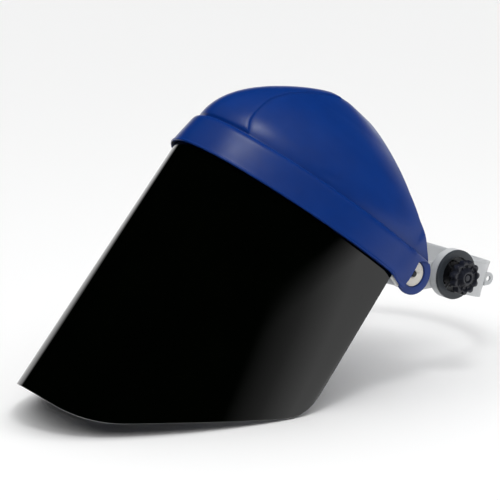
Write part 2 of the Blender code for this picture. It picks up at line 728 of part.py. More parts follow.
def spoke_mesh(turn):
    """A bar from inside the ring's hub to inside its band."""
    half = 0.7 * MM
    low, high = RING_IN_X + 0.3 * MM, RING_OUT_X - 0.5 * MM
    rings = []
    for radius in (5.0 * MM, RING_INNER + 1.5 * MM):
        ring = []
        for x, side in ((low, -half), (low, half), (high, half), (high, -half)):
            y = RATCHET_Y + radius * math.cos(turn) - side * math.sin(turn)
            z = RATCHET_Z + radius * math.sin(turn) + side * math.cos(turn)
            ring.append((x, y, z))
        rings.append(ring)
    return loft("ring_spoke", rings)


def toothed_ring(x, tip, root, teeth, phase=0.0):
    """A gear outline about the ratchet axis, with four points to each tooth."""
    points = []
    for i in range(teeth):
        for part, radius in ((0.0, root), (0.30, root), (0.42, tip), (0.72, tip)):
            a = phase + TAU * (i + part) / teeth
            points.append((x, RATCHET_Y + radius * math.cos(a), RATCHET_Z + radius * math.sin(a)))
    return points


def build_pinion(parent):
    """Retaining flange, pinion and shaft in one turned piece."""
    def gear(x, tip, root):
        return toothed_ring(x * MM, tip, root, PINION_TEETH)

    flange = 8.5 * MM
    rings = [gear(72.2, flange, flange), gear(73.5, flange, flange),
             gear(73.5, PINION_TIP, PINION_ROOT), gear(77.8, PINION_TIP, PINION_ROOT),
             gear(77.8, SHAFT_RADIUS, SHAFT_RADIUS), gear(95.0, SHAFT_RADIUS, SHAFT_RADIUS)]
    piece = add_object("pinion_shaft", loft("pinion_shaft", rings), "white", None, 30.0)
    move_origin(piece, parent)


def build_ratchet_wheel(parent):
    """Fine-toothed wheel on the shaft, which the pawl spring clicks over."""
    bore = SHAFT_RADIUS + GAP
    teeth = 20
    rings = [toothed_ring(80.0 * MM, bore, bore, teeth), toothed_ring(80.0 * MM, 10.0 * MM, 9.0 * MM, teeth),
             toothed_ring(82.4 * MM, 10.0 * MM, 9.0 * MM, teeth), toothed_ring(82.4 * MM, bore, bore, teeth)]
    wheel = add_object("ratchet_wheel", loft("ratchet_wheel", rings, wrap=True), "black", None, 30.0)
    move_origin(wheel, parent)


def build_pawl_spring():
    """A bent leaf round the ratchet wheel, with its tip just clear of the teeth."""
    rings = []
    steps = 32
    for i in range(steps + 1):
        a = math.radians(40.0 + 280.0 * i / steps)
        radius = (14.6 - 3.6 * ramp(i, steps - 9, steps)) * MM
        ring = []
        for x, off in ((80.1, -0.4), (82.3, -0.4), (82.3, 0.4), (80.1, 0.4)):
            r = radius + off * MM
            ring.append((x * MM, RATCHET_Y + r * math.cos(a), RATCHET_Z + r * math.sin(a)))
        rings.append(ring)
    add_object("pawl_spring", loft("pawl_spring", rings), "steel", None, 40.0)


def knob_ring(x, radius, depth, count):
    """A scalloped outline; depth 0 gives a circle."""
    points = []
    for i in range(count):
        a = TAU * i / count
        r = radius - depth * (0.5 - 0.5 * math.cos(KNOB_LOBES * a)) ** 2.0
        points.append((x * MM, RATCHET_Y + r * math.cos(a), RATCHET_Z + r * math.sin(a)))
    return points


def build_knob(parent):
    """Scalloped knob with a coned middle and a screw well."""
    count = KNOB_LOBES * 6
    lobe = 1.9 * MM
    bore = SHAFT_RADIUS + GAP
    stations = [(90.8, bore, 0), (90.8, 8.0 * MM, 0), (92.4, 10.5 * MM, 0.4 * lobe),
                (93.0, KNOB_RADIUS - 0.6 * MM, lobe), (93.6, KNOB_RADIUS, lobe),
                (97.6, KNOB_RADIUS, lobe), (98.4, KNOB_RADIUS - 0.8 * MM, 0.9 * lobe),
                (98.4, 9.2 * MM, 0), (97.6, 7.8 * MM, 0), (99.5, 4.8 * MM, 0),
                (99.5, 3.2 * MM, 0), (97.3, 3.2 * MM, 0), (97.3, 1.2 * MM, 0),
                (95.3, 1.2 * MM, 0), (95.3, bore, 0)]
    rings = [knob_ring(x, radius, depth, count) for x, radius, depth in stations]
    knob = add_object("ratchet_knob", loft("ratchet_knob", rings, wrap=True), "black", None, 35.0)
    move_origin(knob, parent)
    screw = turned_x("knob_screw", [(97.6 * MM, 2.8 * MM), (98.7 * MM, 2.8 * MM),
                                    (99.1 * MM, 2.2 * MM)], (RATCHET_Y, RATCHET_Z), 20)
    move_origin(add_object("knob_screw", screw, "steel"), parent)


# ---------------------------------------------------------------- crown straps

def crown_strap_mesh(name, side, rise):
    """A band from a foot inside the front band, over the head, to just past the middle."""
    x_side = STRAP_OUT_X - 0.5 * CROWN_THICK
    path = [(side * x_side, CROWN_FOOT_Z), (side * x_side, CROWN_SPRING_Z)]
    end = math.acos(-CROWN_OVERLAP_X / x_side)
    for i in range(1, 21):
        a = end * i / 20
        path.append((side * x_side * math.cos(a), CROWN_SPRING_Z + rise * math.sin(a)))
    rings = []
    for i, (x, z) in enumerate(path):
        before = path[max(0, i - 1)]
        after = path[min(len(path) - 1, i + 1)]
        along = Vector((after[0] - before[0], 0.0, after[1] - before[1])).normalized()
        out = Vector((along.z, 0.0, -along.x)) * (0.5 * CROWN_THICK)
        y = CROWN_BASE_Y + CROWN_LEAN_Y * max(0.0, z - CROWN_SPRING_Z) / rise
        half = 0.5 * CROWN_WIDTH * (0.7 if i in (0, len(path) - 1) else 1.0)
        centre = Vector((x, y, z))
        across = Vector((0.0, half, 0.0))
        rings.append([centre - across - out, centre + across - out,
                      centre + across + out, centre - across + out])
    return loft(name, rings)


def build_crown_straps():
    layer = CROWN_THICK + 2.0 * GAP
    foot = (CROWN_BASE_Y, band_middle(CROWN_BASE_Y))
    straps = []
    for side, label, rise in ((1.0, "left", CROWN_RISE - layer), (-1.0, "right", CROWN_RISE)):
        name = "crown_strap_" + label
        strap = add_object(name, crown_strap_mesh(name, side, rise), "grey", None, 40.0)
        hole = turned_x("foot_hole", [(side * 60 * MM, 2.0 * MM), (side * 90 * MM, 2.0 * MM)],
                        foot, 20)
        boolean(strap, helper("foot_hole_" + label, hole))
        straps.append(strap)
    for i, x in enumerate((-8.0 * MM, 8.0 * MM), 1):
        build_crown_peg(i, x, straps)
    rivet = turned_x("crown_rivet", [
        (72.6 * MM, 2.5 * MM), (72.9 * MM, 3.0 * MM), (73.7 * MM, 3.0 * MM),
        (73.7 * MM, 1.7 * MM), (77.8 * MM, 1.7 * MM), (77.8 * MM, 3.0 * MM),
        (78.3 * MM, 3.0 * MM), (78.7 * MM, 2.4 * MM)], foot, 20)
    both_sides("crown_rivet", rivet, "white")


def build_crown_peg(number, x, straps):
    """A button through both straps near the top of the head."""
    top = CROWN_SPRING_Z + CROWN_RISE + 0.5 * CROWN_THICK
    y = CROWN_BASE_Y + CROWN_LEAN_Y

    def round_z(name, stations):
        rings = []
        for z, radius in stations:
            rings.append([(x + px, y + py, z) for px, py in circle(radius, 20)])
        return loft(name, rings)

    name = "crown_peg_%d" % number
    stations = [(top - 4.4 * MM, 1.7 * MM), (top + 0.4 * MM, 1.7 * MM), (top + 0.4 * MM, 3.2 * MM),
                (top + 0.9 * MM, 3.2 * MM), (top + 1.3 * MM, 2.6 * MM)]
    add_object(name, round_z(name, stations), "white")
    tool = helper(name + "_hole", round_z(name + "_hole", [(top - 9 * MM, 2.0 * MM),
                                                           (top + 6 * MM, 2.0 * MM)]))
    for strap in straps:
        boolean(strap, tool)


# ---------------------------------------------------------------- assembly

def main():
    clear_scene()
    visor = empty("visor_pivot", (0.0, 0.0, 0.0), -VISOR_PITCH)
    knob = empty("knob_axis", (0.0, RATCHET_Y, RATCHET_Z))
    slide = empty("strap_slide", (0.0, STRAP_ARC_Y, RATCHET_Z))
    build_crown_shell(visor)
    build_window(visor)
    build_window_studs(visor)
    build_window_clips(visor)
    build_pivots()
    build_front_band()
    build_brow_pad()
    build_rear_strap(slide)
    build_strap_keeper()
    build_ratchet_housing()
    build_ratchet_ring()
    build_pinion(knob)
    build_ratchet_wheel(knob)
    build_pawl_spring()
    build_knob(knob)
    build_crown_straps()


main()
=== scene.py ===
"""Looks for the face shield: fine surfaces, materials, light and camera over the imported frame."""
import math

import bmesh
import bpy
from mathutils import Matrix, Vector


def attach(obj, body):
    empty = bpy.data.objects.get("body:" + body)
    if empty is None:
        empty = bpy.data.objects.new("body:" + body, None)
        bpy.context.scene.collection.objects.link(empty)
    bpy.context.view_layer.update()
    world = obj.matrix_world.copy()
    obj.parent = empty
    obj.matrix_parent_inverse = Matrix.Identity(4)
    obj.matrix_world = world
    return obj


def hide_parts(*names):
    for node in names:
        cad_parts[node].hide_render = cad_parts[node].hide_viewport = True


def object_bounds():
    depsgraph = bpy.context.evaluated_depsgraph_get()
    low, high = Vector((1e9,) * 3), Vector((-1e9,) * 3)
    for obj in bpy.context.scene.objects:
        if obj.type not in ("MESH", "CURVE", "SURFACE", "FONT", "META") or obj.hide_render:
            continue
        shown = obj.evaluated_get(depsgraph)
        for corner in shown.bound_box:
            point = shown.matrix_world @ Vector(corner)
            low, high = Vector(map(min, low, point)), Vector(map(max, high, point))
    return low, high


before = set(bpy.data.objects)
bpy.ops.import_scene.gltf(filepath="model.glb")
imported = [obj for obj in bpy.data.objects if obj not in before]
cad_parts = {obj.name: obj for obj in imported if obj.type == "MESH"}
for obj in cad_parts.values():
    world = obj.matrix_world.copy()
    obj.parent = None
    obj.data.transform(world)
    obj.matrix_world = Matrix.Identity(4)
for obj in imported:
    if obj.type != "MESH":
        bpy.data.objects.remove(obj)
CAD_BOX = [list(corner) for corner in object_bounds()]
MM = 0.001
TAU = 2.0 * math.pi
PITCH = math.radians(39.7)
TO_WORLD = Matrix.Rotation(-PITCH, 4, 'X')       # level visor frame to its raised rest place

# The visor's driving sizes, as in the CAD
PLAN_Y, TAPER = -12.0, 0.21
RIM_HALF, RIM_REACH, RIM_LOW, RIM_SLOPE = 96.5, 162.0, -12.1, 0.0102
CREASE_HALF, CREASE_REACH, CREASE_Z = 87.1, 153.7, 13.75
DOME_RISE, DOME_TOP_Y, DOME_BACK_Y = 76.7, -71.0, 86.5
BACK_EDGE = ((13.75, 8.0), (21.0, 0.0), (32.0, -9.3), (36.0, -14.8), (50.0, -27.0),
             (65.0, -35.8), (80.0, -44.5), (90.5, -52.0))
WALL = 2.2
BAND_CLIMB, BAND_CLIMB_Y = 0.35, 12.0            # the front band climbs towards the forehead
RATCHET_Y, RATCHET_Z = 42.6, -7.4
PAD_HALF, PAD_REACH, PAD_Y = 75.2, 71.7, -26.0   # the sweatband lies along this curve

# Camera and lights: angles in degrees, lengths in metres
CAMERA_PLAN, CAMERA_RISE = 55.0, 14.0
CAMERA_AWAY, CAMERA_ASIDE = 1.300, 0.0689
CAMERA_LENS_MM, CAMERA_FILM_MM = 121.7, 36.0
FLOOR_HALF, FLOOR_GAP = 6.0, 0.001
SUN_STRENGTH, SUN_SPREAD = 2.9, 110.0
SOFTBOX_PLAN, SOFTBOX_OUT, SOFTBOX_POWER = 12.0, 0.50, 3.0


# ---------------------------------------------------------------- mesh helpers

def ramp(v, a, b):
    """Smooth step from 0 at a to 1 at b."""
    t = min(1.0, max(0.0, (v - a) / (b - a)))
    return t * t * (3.0 - 2.0 * t)


def link(name, bm, mats, body, world=None, angle=35.0, cad=()):
    """Turns a bmesh in millimetres into a piece on a body."""
    bmesh.ops.remove_doubles(bm, verts=bm.verts, dist=0.0005)
    bmesh.ops.recalc_face_normals(bm, faces=bm.faces)
    bm.transform(Matrix.Scale(MM, 4))
    if world is not None:
        bm.transform(world)
    mesh = bpy.data.meshes.new(name)
    bm.to_mesh(mesh)
    bm.free()
    mesh.shade_smooth()
    mesh.set_sharp_from_angle(angle=math.radians(angle))
    obj = bpy.data.objects.new(name, mesh)
    bpy.context.scene.collection.objects.link(obj)
    for mat in mats if isinstance(mats, (list, tuple)) else [mats]:
        mesh.materials.append(mat)
    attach(obj, body)
    if cad:
        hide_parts(*cad)
    return obj


def skin(bm, rings, close_ring=True, cap=True, wrap=False):
    """Joins rings of points into a skin, closed at its ends or wrapped round on itself."""
    rows = [[bm.verts.new(p) for p in ring] for ring in rings]
    count = len(rings[0])
    pairs = list(zip(rows, rows[1:])) + ([(rows[-1], rows[0])] if wrap else [])
    for low, high in pairs:
        for i in range(count if close_ring else count - 1):
            j = (i + 1) % count
            bm.faces.new((low[i], low[j], high[j], high[i]))
    if cap and not wrap:
        bm.faces.new(rows[0])
        bm.faces.new(rows[-1])
    return rows


def turned(profile, centre=(0.0, 0.0), count=96):
    """Rings of a solid turned about an axis along X, from (x, r) stations."""
    rings = []
    for i in range(count):
        a = TAU * i / count
        rings.append([(x, centre[0] + r * math.cos(a), centre[1] + r * math.sin(a))
                      for x, r in profile])
    return rings


def rounded(profile, radius, steps=3, closed=True):
    """A 2-D outline with its corners rounded; radius may be one number or one for each corner."""
    out = []
    n = len(profile)
    for i, p in enumerate(profile):
        r = radius[i] if isinstance(radius, (list, tuple)) else radius
        if r <= 0.0 or (not closed and i in (0, n - 1)):
            out.append(tuple(p))
            continue
        p0, p2 = Vector(profile[i - 1]), Vector(profile[(i + 1) % n])
        p1 = Vector(p)
        a, b = (p0 - p1), (p2 - p1)
        cut = min(r, 0.45 * a.length, 0.45 * b.length)
        a, b = p1 + a.normalized() * cut, p1 + b.normalized() * cut
        for k in range(steps + 1):
            t = k / steps
            q = a * (1 - t) ** 2 + p1 * (2 * t * (1 - t)) + b * t * t
            out.append(tuple(q))
    return out


# ---------------------------------------------------------------- materials

def new_material(name):
    """A material with its node tree and its Principled shader."""
    mat = bpy.data.materials.new(name)
    mat.use_nodes = True
    nt = mat.node_tree
    return mat, nt, nt.nodes["Principled BSDF"]


def node(nt, kind, **values):
    """A shader node with its sockets or settings filled in."""
    n = nt.nodes.new(kind)
    for key, value in values.items():
        if key in n.inputs:
            n.inputs[key].default_value = value
        else:
            setattr(n, key, value)
    return n


def noise(nt, scale, detail=4.0, rough=0.55):
    """Noise fixed to the piece it is on."""
    coord = node(nt, "ShaderNodeTexCoord")
    n = node(nt, "ShaderNodeTexNoise")
    n.inputs["Scale"].default_value = scale
    n.inputs["Detail"].default_value = detail
    n.inputs["Roughness"].default_value = rough
    nt.links.new(coord.outputs["Object"], n.inputs["Vector"])
    return n


def map_range(nt, source, lo, hi, new_lo, new_hi):
    """Maps a socket's value from one range to another."""
    m = node(nt, "ShaderNodeMapRange")
    m.inputs["From Min"].default_value = lo
    m.inputs["From Max"].default_value = hi
    m.inputs["To Min"].default_value = new_lo
    m.inputs["To Max"].default_value = new_hi
    nt.links.new(source, m.inputs["Value"])
    return m.outputs["Result"]


def moulded(name, base, dark, rough, rough_spread=0.06, bump=0.02, grain=900.0, ior=1.5,
            specular=0.5, coat=0.0, coat_rough=0.1, subsurface=0.0, patch=35.0):
    """Moulded plastic: soft colour drift, fine texture, handling marks in the gloss."""
    mat, nt, sh = new_material(name)
    drift = noise(nt, patch, 3.0)
    mix = node(nt, "ShaderNodeMix", data_type='RGBA')
    mix.inputs["A"].default_value = (*base, 1.0)
    mix.inputs["B"].default_value = (*dark, 1.0)
    nt.links.new(map_range(nt, drift.outputs["Fac"], 0.35, 0.7, 0.0, 1.0), mix.inputs["Factor"])
    nt.links.new(mix.outputs["Result"], sh.inputs["Base Color"])
    wear = noise(nt, patch * 3.1, 5.0, 0.65)
    nt.links.new(map_range(nt, wear.outputs["Fac"], 0.3, 0.75, rough - rough_spread,
                           rough + rough_spread), sh.inputs["Roughness"])
    fine = noise(nt, grain, 2.0)
    b = node(nt, "ShaderNodeBump")
    b.inputs["Strength"].default_value = bump
    b.inputs["Distance"].default_value = 0.0004
    nt.links.new(fine.outputs["Fac"], b.inputs["Height"])
    nt.links.new(b.outputs["Normal"], sh.inputs["Normal"])
    sh.inputs["IOR"].default_value = ior
    sh.inputs["Specular IOR Level"].default_value = specular
    sh.inputs["Coat Weight"].default_value = coat
    sh.inputs["Coat Roughness"].default_value = coat_rough
    if subsurface:
        sh.inputs["Subsurface Weight"].default_value = subsurface
        sh.inputs["Subsurface Radius"].default_value = (0.002, 0.002, 0.002)
        sh.inputs["Subsurface Scale"].default_value = 1.0
    return mat


BLUE = moulded("shell_blue", (0.0010, 0.033, 0.215), (0.0008, 0.028, 0.190), 0.33, 0.04, 0.06,
               1500.0, 1.50, 0.40)
WINDOW = moulded("window_tint", (0.0003, 0.0006, 0.0003), (0.0005, 0.0009, 0.0004), 0.045, 0.012,
                 0.004, 300.0, 1.55, 0.5)
GREY = moulded("band_grey", (0.62, 0.635, 0.65), (0.56, 0.575, 0.59), 0.42, 0.06, 0.05, 1200.0,
               subsurface=0.08)
WHITE = moulded("trim_white", (0.86, 0.86, 0.84), (0.80, 0.80, 0.77), 0.36, 0.05, 0.03)
CREAM = moulded("button_cream", (0.86, 0.83, 0.76), (0.80, 0.76, 0.68), 0.30, 0.06, 0.03)
BLACK = moulded("trim_black", (0.010, 0.011, 0.014), (0.016, 0.017, 0.020), 0.42, 0.08, 0.06)
KNOB = moulded("knob_black", (0.009, 0.010, 0.017), (0.016, 0.018, 0.028), 0.36, 0.08, 0.08,
               900.0)
SLATE = moulded("ring_slate", (0.040, 0.048, 0.058), (0.030, 0.036, 0.044), 0.40, 0.06, 0.05)


def steel(name):
    """Bare steel with fine scratches in its gloss."""
    mat, nt, sh = new_material(name)
    sh.inputs["Metallic"].default_value = 1.0
    sh.inputs["Base Color"].default_value = (0.60, 0.60, 0.61, 1.0)
    scratches = noise(nt, 1400.0, 4.0)
    nt.links.new(map_range(nt, scratches.outputs["Fac"], 0.3, 0.7, 0.16, 0.36),
                 sh.inputs["Roughness"])
    return mat


STEEL = steel("pin_steel")


def knitted(name):
    """Sweatband: a fine knit over foam."""
    mat, nt, sh = new_material(name)
    coord = node(nt, "ShaderNodeTexCoord")
    waves = []
    for direction, scale in (('X', 900.0), ('Z', 700.0)):
        w = node(nt, "ShaderNodeTexWave", bands_direction=direction)
        w.inputs["Scale"].default_value = scale / TAU
        w.inputs["Distortion"].default_value = 1.2
        w.inputs["Detail Scale"].default_value = 4.0
        nt.links.new(coord.outputs["Object"], w.inputs["Vector"])
        waves.append(w.outputs["Fac"])
    mult = node(nt, "ShaderNodeMath", operation='MULTIPLY')
    nt.links.new(waves[0], mult.inputs[0])
    nt.links.new(waves[1], mult.inputs[1])
    mix = node(nt, "ShaderNodeMix", data_type='RGBA')
    mix.inputs["A"].default_value = (0.030, 0.031, 0.034, 1.0)
    mix.inputs["B"].default_value = (0.080, 0.082, 0.088, 1.0)
    nt.links.new(mult.outputs[0], mix.inputs["Factor"])
    nt.links.new(mix.outputs["Result"], sh.inputs["Base Color"])
    b = node(nt, "ShaderNodeBump")
    b.inputs["Strength"].default_value = 0.6
    b.inputs["Distance"].default_value = 0.0005
    nt.links.new(mult.outputs[0], b.inputs["Height"])
    nt.links.new(b.outputs["Normal"], sh.inputs["Normal"])
    sh.inputs["Roughness"].default_value = 0.9
    sh.inputs["Sheen Weight"].default_value = 0.35
    sh.inputs["Sheen Roughness"].default_value = 0.5
    return mat


KNIT = knitted("pad_knit")


# ---------------------------------------------------------------- crown shell

def plan_point(half, reach, taper, t, centre=PLAN_Y):
    """A point of the visor's plan curve: t is 0 at the front, a quarter turn at the side."""
    s, c = math.sin(t), math.cos(t)
    return half * s * (1.0 - taper * c * c), centre - reach * c


PANEL_WIDTHS = ((0.0, 32.0), (0.134, 27.0), (0.303, 23.0), (0.46, 18.0), (0.655, 13.0),
                (0.80, 10.0), (0.90, 8.2), (1.0, 7.6))
COLUMNS = 56                    # on each side of the middle, inside the raised panel and outside
INSIDE, EDGE = 16, 4


def panel_width(rise):
    """Half width of the raised middle panel at a height on the dome."""
    for (a, wa), (b, wb) in zip(PANEL_WIDTHS, PANEL_WIDTHS[1:]):
        if rise <= b:
            t = (rise - a) / (b - a)
            return wa + (wb - wa) * t
    return PANEL_WIDTHS[-1][1]


def angle_for(half, taper, x):
    """Plan angle at which the curve is x wide."""
    lo, hi = 0.0, 0.5 * math.pi
    if half * 0.98 <= x:
        return None
    for _ in range(40):
        mid = 0.5 * (lo + hi)
        s, c = math.sin(mid), math.cos(mid)
        if half * s * (1.0 - taper * c * c) < x:
            lo = mid
        else:
            hi = mid
    return lo


def row_angles(half, taper, width):
    """Angles that put fine columns on the raised panel's edge."""
    t0 = angle_for(half, taper, width - 0.7)
    t1 = angle_for(half, taper, width + 0.7)
    if t0 is None or t1 is None:
        t0, t1 = math.radians(52.0), math.radians(56.0)
    ts = [t0 * i / INSIDE for i in range(INSIDE + 1)]
    ts += [t0 + (t1 - t0) * i / EDGE for i in range(1, EDGE + 1)]
    rest = COLUMNS - INSIDE - EDGE
    ts += [t1 + (0.5 * math.pi - t1) * i / rest for i in range(1, rest + 1)]
    return [-t for t in reversed(ts[1:])] + ts


SIDE = 12
PANEL_COLUMNS = [abs(i - COLUMNS) for i in range(2 * COLUMNS + 1)]


def lift_for_column(k):
    """1 on the raised panel, 0 outside it."""
    if k <= INSIDE:
        return 1.0
    if k >= INSIDE + EDGE:
        return 0.0
    return 1.0 - ramp(k, INSIDE, INSIDE + EDGE)


RIM = [(0.55, 0.0), (0.1, 0.05), (-0.25, 0.35), (-0.35, 0.8), (-0.2, 1.25), (0.15, 1.5),
       (0.38, 1.75), (0.55, 2.6), (0.95, 5.0), (1.35, 7.2), (2.0, 10.6), (2.7, 14.0),
       (3.45, 17.6), (4.0, 20.3), (4.35, 21.8), (4.85, 23.2), (5.6, 24.3), (6.5, 25.0),
       (7.5, 25.4), (8.4, 25.65), (8.95, 25.8), (9.25, 26.15)]


RIM_ENDS = ((0.0, -9.4), (7.0, -7.9), (14.0, -6.9), (21.0, -6.0), (24.3, 2.5), (25.85, 8.0))


def rim_end(rise):
    """Where the rim's side ends: its slanted end panel, then the slope up to the dome's edge."""
    for (a, ya), (b, yb) in zip(RIM_ENDS, RIM_ENDS[1:]):
        if rise <= b:
            return ya + (yb - ya) * (rise - a) / (b - a)
    return RIM_ENDS[-1][1]


def heel(y, rise):
    """How far the rim's rear end is drawn down."""
    return 4.0 * ramp(y, -28.0, -11.0) * max(0.0, 1.0 - rise / 7.0)


def crown_rows():
    """Rows of points from the rim's lower edge up to the top of the dome."""
    rows, lifts = [], []
    for inset, rise in RIM:
        share = inset / 9.3
        half = RIM_HALF + (CREASE_HALF - RIM_HALF) * share
        reach = RIM_REACH + (CREASE_REACH - RIM_REACH) * share
        angles = row_angles(half, TAPER, 32.0)
        arc = []
        for t in angles:
            x, y = plan_point(half, reach, TAPER, t)
            arc.append((x, y, RIM_LOW + rise + RIM_SLOPE * y - heel(y, rise)))
        end = rim_end(rise)
        side = []
        for i in range(1, SIDE + 1):
            y = PLAN_Y + (end - PLAN_Y) * i / SIDE
            x = half * math.sqrt(1.0 - ((y - PLAN_Y) / (DOME_BACK_Y - PLAN_Y)) ** 2)
            side.append((x, y, RIM_LOW + rise + RIM_SLOPE * y - heel(y, rise)))
        rows.append([(-x, y, z) for x, y, z in reversed(side)] + arc + side)
        lifts.append(0.0)
    phis = [0.4, 0.9, 1.5, 2.3, 3.2] + [3.2 + (86.8 - 3.2) * i / 62 for i in range(1, 63)]
    for phi in phis:
        rows.append(dome_row(math.sin(math.radians(phi))))
        rise = math.sin(math.radians(phi))
        z = CREASE_Z + DOME_RISE * rise
        lifts.append(ramp(z, 14.2, 16.4) * (1.0 - ramp(rise, 0.955, 0.972)))
    return rows, lifts


def back_edge(level):
    """How far back the crown reaches at a level."""
    for (z0, y0), (z1, y1) in zip(BACK_EDGE, BACK_EDGE[1:]):
        if level <= z1:
            return y0 + (y1 - y0) * (level - z0) / (z1 - z0)
    return BACK_EDGE[-1][1]


def dome_row(rise):
    """Size and place of the dome's plan curve at a height."""
    drop = math.sqrt(1.0 - rise * rise)
    half = CREASE_HALF * drop * (1.0 - 0.50 * rise * rise)
    front = DOME_TOP_Y + (PLAN_Y - CREASE_REACH - DOME_TOP_Y) * drop * (1.0 - 0.473 * rise * rise)
    tail = (1.0 - rise ** 3.5) ** (1.0 / 3.5)
    back = DOME_TOP_Y + (DOME_BACK_Y - DOME_TOP_Y) * tail
    centre = PLAN_Y + (DOME_TOP_Y - PLAN_Y) * rise ** 2.5
    taper = TAPER + 0.04 * rise
    level = CREASE_Z + DOME_RISE * rise
    edge = back_edge(level)
    centre = min(centre, edge - 1.0)
    tilt = RIM_SLOPE * (1.0 - rise)
    arc = []
    for t in row_angles(half, taper, panel_width(rise)):
        x, y = plan_point(half, centre - front, taper, t, centre)
        arc.append((x, y, level + tilt * y))
    side = []
    for i in range(1, SIDE + 1):
        y = centre + (edge - centre) * i / SIDE
        x = half * math.sqrt(1.0 - ((y - centre) / (back - centre)) ** 2)
        side.append((x, y, level + tilt * y))
    return [(-x, y, z) for x, y, z in reversed(side)] + arc + side


def detail(p):
    """Outward offset in millimetres of the small moulded features of the crown's side."""
    x, y, z = p
    d = 0.0
    # gently flattened end of the arm, behind a line that slants down its side
    line = -27.0 + (z + 10.0) * 0.40
    d += 0.7 * ramp(y, line - 0.6, line + 7.0) * (1.0 - ramp(z, 30.0, 44.0)) if z > -12 else 0.0
    # dimple on the crown's front quarter
    r = math.hypot(abs(x) - 68.0, z - 19.0)
    if y < -60.0:
        d -= 0.55 * (1.0 - ramp(r, 1.2, 3.0))
    return d


def build_crown():
    """The blue crown: dome, raised panel and rim in one moulded wall."""
    rows, lifts = crown_rows()
    bm = bmesh.new()
    grid = [[bm.verts.new(p) for p in row] for row in rows]
    for low, high in zip(grid, grid[1:]):
        for i in range(len(low) - 1):
            bm.faces.new((low[i], low[i + 1], high[i + 1], high[i]))
    last = len(grid[-1]) - 1
    top = grid[-1]
    for i in range(last // 2 - 1):
        bm.faces.new((top[i], top[i + 1], top[last - 1 - i], top[last - i]))
    bm.faces.new((top[last // 2 - 1], top[last // 2], top[last // 2 + 1]))
    bmesh.ops.recalc_face_normals(bm, faces=bm.faces)
    bm.normal_update()
    if max(bm.faces, key=lambda f: f.calc_center_median().z).normal.z < 0.0:
        bmesh.ops.reverse_faces(bm, faces=bm.faces)
        bm.normal_update()
    normals = {v: v.normal.copy() for v in bm.verts}
    base = {v: v.co.copy() for v in bm.verts}
    outer_faces = list(bm.faces)
    border = [(e.verts[0], e.verts[1]) for e in bm.edges if e.is_boundary]
    for row, lift in zip(grid, lifts):
        for i, v in enumerate(row):
            k = i - SIDE
            raised = 0.0
            if 0 <= k <= 2 * COLUMNS:
                raised = 1.1 * lift * lift_for_column(PANEL_COLUMNS[k])
            v.co = v.co + normals[v] * (raised + detail(v.co))
    twin = {v: bm.verts.new(base[v] - normals[v] * WALL) for v in list(normals)}
    for f in outer_faces:
        bm.faces.new([twin[v] for v in reversed(f.verts)])
    for a, b in border:
        bm.faces.new((a, b, twin[b], twin[a]))
    crown = link("crown", bm, BLUE, "visor", TO_WORLD, 32.0, ("crown_shell",))
    return crown


def build_ears():
    """Round lobes at the pivots, each with the end wall that closes the rim onto it."""
    for side, label in ((1, "left"), (-1, "right")):
        bm = bmesh.new()
        outer, inner = [], []
        n = 96
        for i in range(n):
            a = TAU * i / n
            r = 15.6
            y, z = r * math.cos(a), r * math.sin(a)
            if z > 0 and y < 0:
                # square shoulder that runs up behind the rim
                f = ramp(z, 0.0, 6.0)
                y = y * (1 - f) + (-15.6) * f * min(1.0, (abs(y) / 15.6) * 1.4)
            z = min(z, 13.4)
            outer.append((y, z))
            inner.append((9.8 * math.cos(a), 9.8 * math.sin(a)))
        stations = [(86.2, 0.0), (88.15, 0.0), (88.42, -0.12), (88.5, -0.4)]
        rings = []
        for x, shrink in stations:
            rings.append([(side * x, y * (1 + shrink / 15.6), z * (1 + shrink / 15.6))
                          for y, z in outer])
        for x, grow in ((88.5, 0.4), (88.42, 0.12), (88.15, 0.0), (86.2, 0.0)):
            rings.append([(side * x, y * (1 + grow / 9.8), z * (1 + grow / 9.8))
                          for y, z in inner])
        skin(bm, rings, wrap=True)
        link("ear_" + label, bm, BLUE, "visor", TO_WORLD, 32.0)
        bm = bmesh.new()
        profile = [(88.3, -12.4), (95.6, -15.8), (94.8, -5.2), (93.7, 1.8), (92.8, 7.0),
                   (92.4, 8.9), (88.3, 8.9)]
        rings = [[(side * x, start + 0.135 * (z - 8.6), z) for x, z in profile]
                 for start in (-8.2, -6.08)]
        skin(bm, rings)
        link("ear_wall_" + label, bm, BLUE, "visor", TO_WORLD, 32.0)


# ---------------------------------------------------------------- window

def window_drop(s, half):
    """Height of the window below its top edge, along its curve."""
    slant = math.atan(0.65)
    run = 90.0 * math.tan(0.5 * slant)
    drop = 205.8 - 0.65 * max(0.0, s - 54.5)
    if 54.5 - run < s < 54.5 + run * math.cos(slant):
        drop = 115.8 + math.sqrt(90.0 ** 2 - (s - 54.5 + run) ** 2)
    corner = half - 32.0
    if s > corner + 32.0 * math.sin(slant):
        off = min(32.0, s - corner)
        drop = 205.8 - 0.65 * (corner - 54.5) - 32.0 / math.cos(slant)
        drop += math.sqrt(32.0 ** 2 - off ** 2)
    return drop


